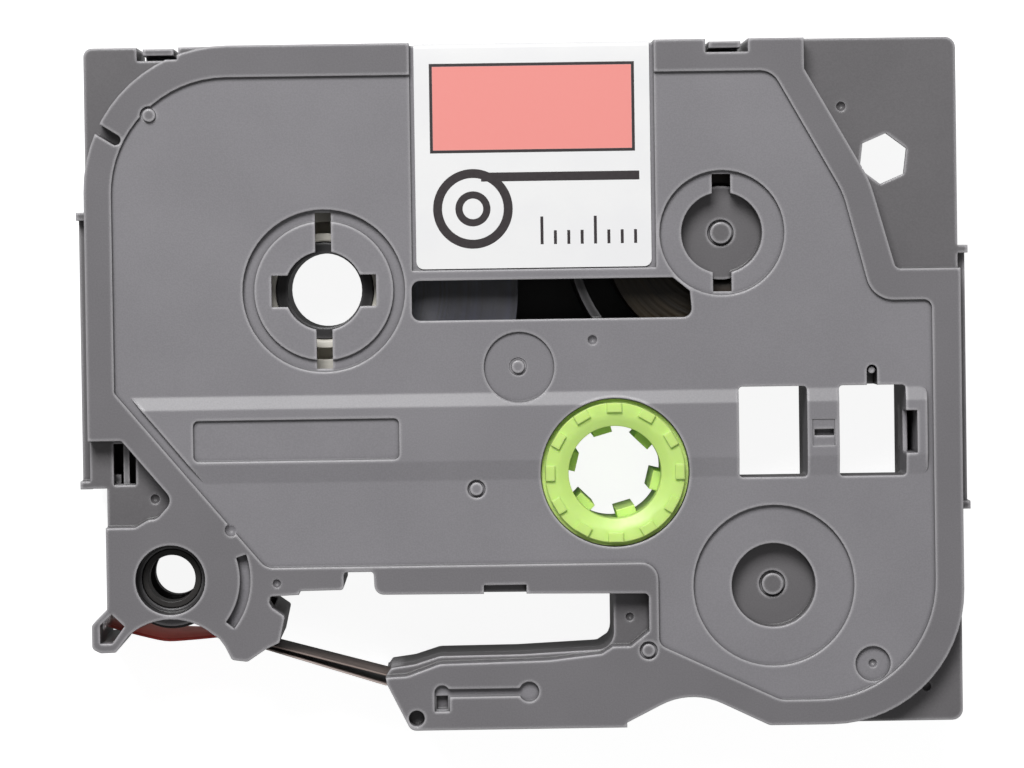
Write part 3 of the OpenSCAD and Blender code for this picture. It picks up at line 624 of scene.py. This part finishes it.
# wound tape: dark edges of many turns, at slightly different heights
ribbonLook = {"dark": linear(14, 13, 15), "pale": linear(44, 42, 48), "turns": 9.0}
rollSpec = {
    "adhesive_roll": {"body": "adhesive_spool", "bore": 8.02,
        "dark": linear(24, 20, 28), "pale": linear(40, 41, 64), "turns": 5.0},
    "film_roll": {"body": "film_spool", "bore": 6.02,
        "dark": linear(24, 18, 9), "pale": linear(52, 41, 22), "turns": 7.0},
    "ribbon_supply_roll": {"body": "ribbon_supply_spool", "bore": 6.02, **ribbonLook},
    "ribbon_takeup_roll": {"body": "takeup_spool", "bore": 7.42, **ribbonLook},
}
windSpec = {
    "rings": 40,
    "wander": 0.05,                     # mm, how far an edge lies below the highest
    "chamfer": 0.05,
    "waves": ((23.0, 0.0), (61.0, 1.0)),
    "band": (0.35, 0.7),
    "matt": (0.2, 0.22),
    "bump": (0.4, 0.04),
}


def woundProfile(inner, outer, low, high):
    # a box of radius and height whose top and bottom edges rise and fall from turn to turn
    wander, chamfer = windSpec["wander"], windSpec["chamfer"]
    radius = np.linspace(inner + chamfer, outer - chamfer, windSpec["rings"])
    (slow, slowStart), (fast, fastStart) = windSpec["waves"]
    sway = 0.5 + 0.25 * np.sin(radius * slow + slowStart) + 0.25 * np.sin(radius * fast + fastStart)
    top = np.stack([radius[::-1], high - wander * sway[::-1]], axis=-1)
    bottom = np.stack([radius, low + wander * sway], axis=-1)
    wallLow, wallHigh = low + wander + chamfer, high - wander - chamfer
    outerWall = np.array([[outer, wallLow], [outer, wallHigh]])
    innerWall = np.array([[inner, wallHigh], [inner, wallLow]])
    return np.concatenate([bottom, outerWall, top, innerWall])


def makeWoundTape(name, spec, centre):
    made, board, shader = newMaterial(name)
    place = board.millimetres()
    wound = useGroup(board, windingGroup, Place=place, Centre=tuple(centre), Turns=spec["turns"])
    band = board.ramp(wound["Band"], *windSpec["band"])
    board.put(shader["Base Color"], board.mix(band, spec["dark"], spec["pale"]))
    board.put(shader["Roughness"], board.math("MULTIPLY_ADD", wound["Height"], *windSpec["matt"]))
    board.put(shader["Normal"], bump(board, wound["Height"], *windSpec["bump"]))
    return made


for rollName, spec in rollSpec.items():
    centre, outer, low, high = nodeRing(rollName)
    piece = turned(rollName + "Wound", woundProfile(spec["bore"], outer, low, high), centre)
    finishPiece(piece, rollName, spec["body"], makeWoundTape(rollName + "Tape", spec, centre))
print("spools: cores, discs and wound tape")


# clutch spring: one drawn wire in a helix
springSpec = {"wire": 0.4, "turns": 2, "steps": 160, "sides": 14}
steelSpec = {
    "colours": (linear(176, 176, 178), linear(208, 208, 210)),
    "grain": (12.0, 0.6),
    "matt": (0.15, 0.22),
}


def makeSpring(spec):
    # a circle carried along a helix
    centre, outer, low, high = nodeRing("takeup_clutch_spring")
    half = spec["wire"] / 2
    along = np.linspace(0, 1, spec["steps"])[:, None]
    turn = along * spec["turns"] * 2 * np.pi
    side = np.arange(spec["sides"])[None, :] / spec["sides"] * 2 * np.pi
    radius = outer - half + half * np.cos(side)
    x = centre[0] + radius * np.cos(turn)
    y = centre[1] + radius * np.sin(turn)
    z = low + half + along * (high - low - 2 * half) + half * np.sin(side)
    return ringMesh("clutchSpring", np.stack([x, y, z], axis=-1))


def makeSteel(spec):
    made, board, shader = newMaterial("springSteel")
    grainScale, driftScale = spec["grain"]
    grain = useGroup(board, grainGroup, Place=board.millimetres(), Grain=grainScale, Drift=driftScale)
    board.put(shader["Base Color"], board.mix(grain["Drift"], *spec["colours"]))
    board.put(shader["Roughness"], board.math("MULTIPLY_ADD", grain["Speck"], *spec["matt"]))
    shader["Metallic"].default_value = 1.0
    return made


finishPiece(makeSpring(springSpec), "takeup_clutch_spring", "case", makeSteel(steelSpec))


# tapes: sheets on edge that run from stop to stop; a stop is x, y and a radius, plus for a turn to the left
tapeSpec = {
    "film_web": {"thick": 0.15, "stops": [(18.65, 14.05, -11.225), (36.9, 3.55, -1.35), (36.9, -11.45, -1.35),
        (32.3, -26.55, -2.825), (15.3, -27.95, 0), (-13.5, -28.15, 0), (-28.8, -23.3, 0)]},
    "ribbon_web": {"thick": 0.15, "stops": [(23.1, -19.05, -8.525), (-13.0, -27.35, 0), (-24.2, -23.15, -1.1),
        (-22.5, -16.15, -0.95), (8.35, -8.25, 8.425)]},
    "adhesive_web": {"thick": 0.15, "stops": [(-18.65, 9.15, 18.425), (-33.4, -17.7, -5.025), (-29.843, -21.257, 0)]},
    "laminated_tape": {"thick": 0.25, "stops": [(-29.1, -23.3, 0), (-33.4, -17.7, -5.65), (-41.65, -21.5, 0)],
        "lean": 0.3},
}
tapeMesh = {"step": 0.4, "edge": 0.03, "turnSteps": 25}


def routeLine(stops):
    # the straight runs touch each round stop on the side that its radius' sign gives, and arcs join them
    place = np.array([stop[:2] for stop in stops])
    radius = np.array([stop[2] for stop in stops])
    run = np.diff(place, axis=0)
    length = np.hypot(run[:, 0], run[:, 1])
    heading = np.unwrap(np.arctan2(run[:, 1], run[:, 0]) + np.arcsin((radius[:-1] - radius[1:]) / length))
    points = []
    for k, centre in enumerate(place):
        start, end = heading[max(k - 1, 0)], heading[min(k, len(heading) - 1)]
        steps = tapeMesh["turnSteps"] if radius[k] and start != end else 1
        turn = np.linspace(start, end, steps)
        points.append(centre + radius[k] * np.stack([np.sin(turn), -np.cos(turn)], axis=-1))
    return np.concatenate(points)


def evenLine(points, step):
    # the same line with points about a step apart
    gap = np.hypot(*np.diff(points, axis=0).T)
    reach = np.concatenate([[0], np.cumsum(gap)])
    even = np.linspace(0, reach[-1], max(2, int(reach[-1] / step)))
    return np.stack([np.interp(even, reach, points[:, 0]), np.interp(even, reach, points[:, 1])], axis=-1)


def makeTape(node, spec):
    # a thin upright box carried along the route, leaning outwards most in the middle of its length
    low, high = (np.array(corner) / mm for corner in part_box(node))
    line = evenLine(routeLine(spec["stops"]), tapeMesh["step"])
    ahead = np.gradient(line, axis=0)
    ahead /= np.linalg.norm(ahead, axis=1, keepdims=True)
    left = np.stack([-ahead[:, 1], ahead[:, 0]], axis=-1)
    half = spec["thick"] / 2
    section = roundedBox((-half, low[2]), (half, high[2]), tapeMesh["edge"], 1)
    part = np.linspace(0, 1, len(line))[:, None]
    level = (section[:, 1] - low[2]) / (high[2] - low[2]) * 2 - 1
    away = section[:, 0] + spec.get("lean", 0.0) * np.sin(np.pi * part) * level
    xy = line[:, None, :] + away[:, :, None] * left[:, None, :]
    z = np.broadcast_to(section[:, 1], away.shape)
    return ringMesh(node + "Sheet", np.concatenate([xy, z[:, :, None]], axis=-1))


sheetSpec = {
    "film_web": {"face": linear(150, 134, 128), "edge": linear(188, 174, 168), "roughness": 0.3},
    "ribbon_web": {"face": linear(92, 81, 78), "edge": linear(150, 136, 130), "roughness": 0.35},
    "adhesive_web": {"face": linear(150, 92, 84), "edge": linear(196, 168, 160), "roughness": 0.35},
}
filmFinish = {
    "stretch": 6.0,             # how much finer the streaks are along z
    "streak": (0.6, 3.0),       # scale and detail
    "band": (0.3, 0.7),
    "cut": (12.9, 12.98),       # mm, the height of the cut edge
    "matt": 0.15,
    "specular": 0.08,
}


def makeSheetFilm(name, spec):
    # a drawn film: fine streaks along its height, and a paler cut edge
    made, board, shader = newMaterial(name)
    place = board.millimetres()
    x, y, z = board.axes(place)
    fine = board.math("MULTIPLY", z, filmFinish["stretch"])
    along = board.add("ShaderNodeCombineXYZ", X=x, Y=y, Z=fine).outputs[0]
    streak = board.noise(along, *filmFinish["streak"])
    cut = board.ramp(z, *filmFinish["cut"])
    face = board.mix(board.ramp(streak, *filmFinish["band"]), spec["face"], spec["edge"])
    board.put(shader["Base Color"], board.mix(cut, face, spec["edge"]))
    matt = board.math("MULTIPLY_ADD", streak, filmFinish["matt"], spec["roughness"])
    board.put(shader["Roughness"], matt)
    shader["Specular IOR Level"].default_value = filmFinish["specular"]
    return made


# laminated tape: a red liner under a clear face, bare clear film beyond the outlet post
laminatedSpec = {
    "edge": linear(196, 88, 80),
    "liner": linear(248, 158, 148),
    "pale": linear(252, 196, 188),
    "clear": linear(232, 230, 230),
    "tongueX": (-40.2, -39.2),
    "tongue": 0.06,                # how solid the bare film looks
    "linerZ": (6.0, 12.2),         # mm, the heights between which pale turns to liner, and liner to edge
    "edgeZ": (12.6, 12.95),
    "grain": (3.0, 0.5),           # scales of the specks and the drift
    "tone": (0.16, 0.92),          # by the drift, and at least
    "matt": (0.1, 0.35),           # by the specks, and at least
    "through": 0.7,                # share of the light that passes
    "specular": 0.1,
    "bend": 1.03,
}


def makeLaminated(spec):
    made, board, shader = newMaterial("laminatedFilm")
    place = board.millimetres()
    x, _, z = board.axes(place)
    grainScale, driftScale = spec["grain"]
    grain = useGroup(board, grainGroup, Place=place, Grain=grainScale, Drift=driftScale)
    colour = board.mix(board.ramp(z, *spec["linerZ"]), spec["pale"], spec["liner"])
    colour = board.mix(board.ramp(z, *spec["edgeZ"]), colour, spec["edge"])
    inside = board.ramp(x, *spec["tongueX"])
    colour = board.mix(inside, spec["clear"], colour)
    level = board.math("MULTIPLY_ADD", grain["Drift"], *spec["tone"])
    board.put(shader["Base Color"], board.scaled(colour, level))
    board.put(shader["Roughness"], board.math("MULTIPLY_ADD", grain["Speck"], *spec["matt"]))
    board.put(shader["Alpha"], board.scalarMix(inside, spec["tongue"], 1.0))
    shader["Transmission Weight"].default_value = spec["through"]
    shader["Specular IOR Level"].default_value = spec["specular"]
    shader["IOR"].default_value = spec["bend"]
    return made


tapeFilm = {name: makeSheetFilm(name + "Film", spec) for name, spec in sheetSpec.items()}
tapeFilm["laminated_tape"] = makeLaminated(laminatedSpec)
for tapeName, spec in tapeSpec.items():
    finishPiece(makeTape(tapeName, spec), tapeName, "case", tapeFilm[tapeName])
print("tapes: film, ribbon, adhesive and laminated")


# label: one paper sheet folded over the rear edge, with round corners
labelSpec = {
    "thick": 0.15,
    "fold": 0.4,          # mm, radius of the bend
    "corner": 0.7,
    "bendSteps": 9,
    "topSteps": 12,
    "rearSteps": 8,
    "acrossSteps": 14,
}


def foldedSheet(spec):
    # a flat strip carried along a bent path; its half width follows a quarter circle at both ends
    low, high = (np.array(corner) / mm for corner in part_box("product_label"))
    half, fold, corner = spec["thick"] / 2, spec["fold"], spec["corner"]
    quarter = np.linspace(0, np.pi / 2, spec["bendSteps"])
    ease = corner * (1 - np.cos(quarter))
    rearY, topZ = high[1] - half, high[2] - half
    flatY = np.concatenate([low[1] + ease, np.linspace(low[1] + corner, rearY - fold, spec["topSteps"])[1:]])
    turn = quarter[1:]
    foldY, foldZ = rearY - fold + fold * np.sin(turn), topZ - fold + fold * np.cos(turn)
    straightZ = np.linspace(topZ - fold, low[2] + corner, spec["rearSteps"])[1:]
    downZ = np.concatenate([straightZ, low[2] + ease[::-1][1:]])
    y = np.concatenate([flatY, foldY, np.full(len(downZ), rearY)])
    z = np.concatenate([np.full(len(flatY), topZ), foldZ, downZ])
    normal = np.stack([-np.gradient(z), np.gradient(y)], axis=-1)
    normal /= np.linalg.norm(normal, axis=1, keepdims=True)
    fromEnd = np.minimum(np.concatenate([flatY - low[1], np.full(len(y) - len(flatY), corner)]),
        np.concatenate([np.full(len(y) - len(downZ), corner), downZ - low[2]]))
    inset = corner - np.sqrt(corner ** 2 - (corner - np.minimum(fromEnd, corner)) ** 2)
    middle, wide = (low[0] + high[0]) / 2, (high[0] - low[0]) / 2 - inset
    across = np.linspace(-1, 1, spec["acrossSteps"])
    x = middle + wide[:, None] * np.concatenate([across, across[::-1]])
    side = np.repeat([half, -half], len(across))
    yz = np.stack([y, z], axis=-1)[:, None, :] + side[None, :, None] * normal[:, None, :]
    return ringMesh("labelSheet", np.concatenate([x[:, :, None], yz], axis=-1))


# label print: a coral block in a thin frame, a roll of tape drawn out along a line, and a row of ticks
printSpec = {
    "paper": (linear(245, 245, 245), linear(242, 242, 243)),
    "coral": linear(246, 153, 146),
    "ink": linear(52, 46, 48),
    "block": (1.05, 26.0, 9.3, 3.9),        # centre x and y, half width and half height in mm
    "frame": 0.28,
    "roll": (-4.6, 16.6),
    "rings": ((3.3, 0.42), (1.3, 0.34)),    # radius and half width
    "strip": (3.6, 19.55, 7.4, 0.42),
    "ticks": {"x": (1.2, 11.2), "y": 13.2, "pitch": 1.25, "half": 0.14, "short": 1.3, "tall": 2.6, "every": 4.0},
    "blur": 0.02,                           # mm, half the width of a printed edge
    "topZ": 16.3,                           # mm, the print lies above this
    "fibre": (3.5, 0.2),
    "matt": (0.08, 0.36),
    "bump": (0.06, 0.02),
}


def printed(board, off):
    # 1 where the distance out of a shape is below zero, with a crisp edge
    return board.inverse(board.ramp(off, -printSpec["blur"], printSpec["blur"]))


def boxMask(board, x, y, spec):
    return printed(board, board.outside(x, y, spec[:2], spec[2:]))


def ringMask(board, x, y, centre, radius, half):
    fromLine = board.math("ABSOLUTE", board.math("SUBTRACT", board.reach(x, y, centre), radius))
    return printed(board, board.math("SUBTRACT", fromLine, half))


def tickMask(board, x, y, spec):
    # a row of short strokes, every fourth one tall
    start, end = spec["x"]
    step = board.math("DIVIDE", board.math("SUBTRACT", x, start), spec["pitch"])
    part = board.math("ABSOLUTE", board.math("SUBTRACT", board.math("FRACT", step), 0.5))
    stroke = board.math("LESS_THAN", part, spec["half"] / spec["pitch"])
    fourth = board.math("LESS_THAN", board.math("MODULO", board.math("FLOOR", step), spec["every"]), 0.5)
    top = board.math("MULTIPLY_ADD", fourth, spec["tall"] - spec["short"], spec["y"] + spec["short"])
    inRow = board.between(y, spec["y"], top)
    inSpan = board.between(x, start, end)
    return board.math("MULTIPLY", stroke, board.math("MULTIPLY", inRow, inSpan))


def makeLabelPaper(spec):
    made, board, shader = newMaterial("labelPaper")
    place = board.millimetres()
    x, y, z = board.axes(place)
    grainScale, driftScale = spec["fibre"]
    fibre = useGroup(board, grainGroup, Place=place, Grain=grainScale, Drift=driftScale)
    centreX, centreY, halfX, halfY = spec["block"]
    block = boxMask(board, x, y, spec["block"])
    frameOut = boxMask(board, x, y, (centreX, centreY, halfX + spec["frame"], halfY + spec["frame"]))
    ink = board.math("SUBTRACT", frameOut, block)
    for radius, half in spec["rings"]:
        ink = board.math("MAXIMUM", ink, ringMask(board, x, y, spec["roll"], radius, half))
    ink = board.math("MAXIMUM", ink, boxMask(board, x, y, spec["strip"]))
    ink = board.math("MAXIMUM", ink, tickMask(board, x, y, spec["ticks"]))
    face = board.math("GREATER_THAN", z, spec["topZ"])
    paper = board.mix(fibre["Drift"], *spec["paper"])
    colour = board.mix(board.math("MULTIPLY", block, face), paper, spec["coral"])
    colour = board.mix(board.math("MULTIPLY", ink, face), colour, spec["ink"])
    board.put(shader["Base Color"], colour)
    board.put(shader["Roughness"], board.math("MULTIPLY_ADD", fibre["Speck"], *spec["matt"]))
    board.put(shader["Normal"], bump(board, fibre["Height"], *spec["bump"]))
    return made


finishPiece(foldedSheet(labelSpec), "product_label", "case", makeLabelPaper(printSpec))
print("label: folded sheet and print")
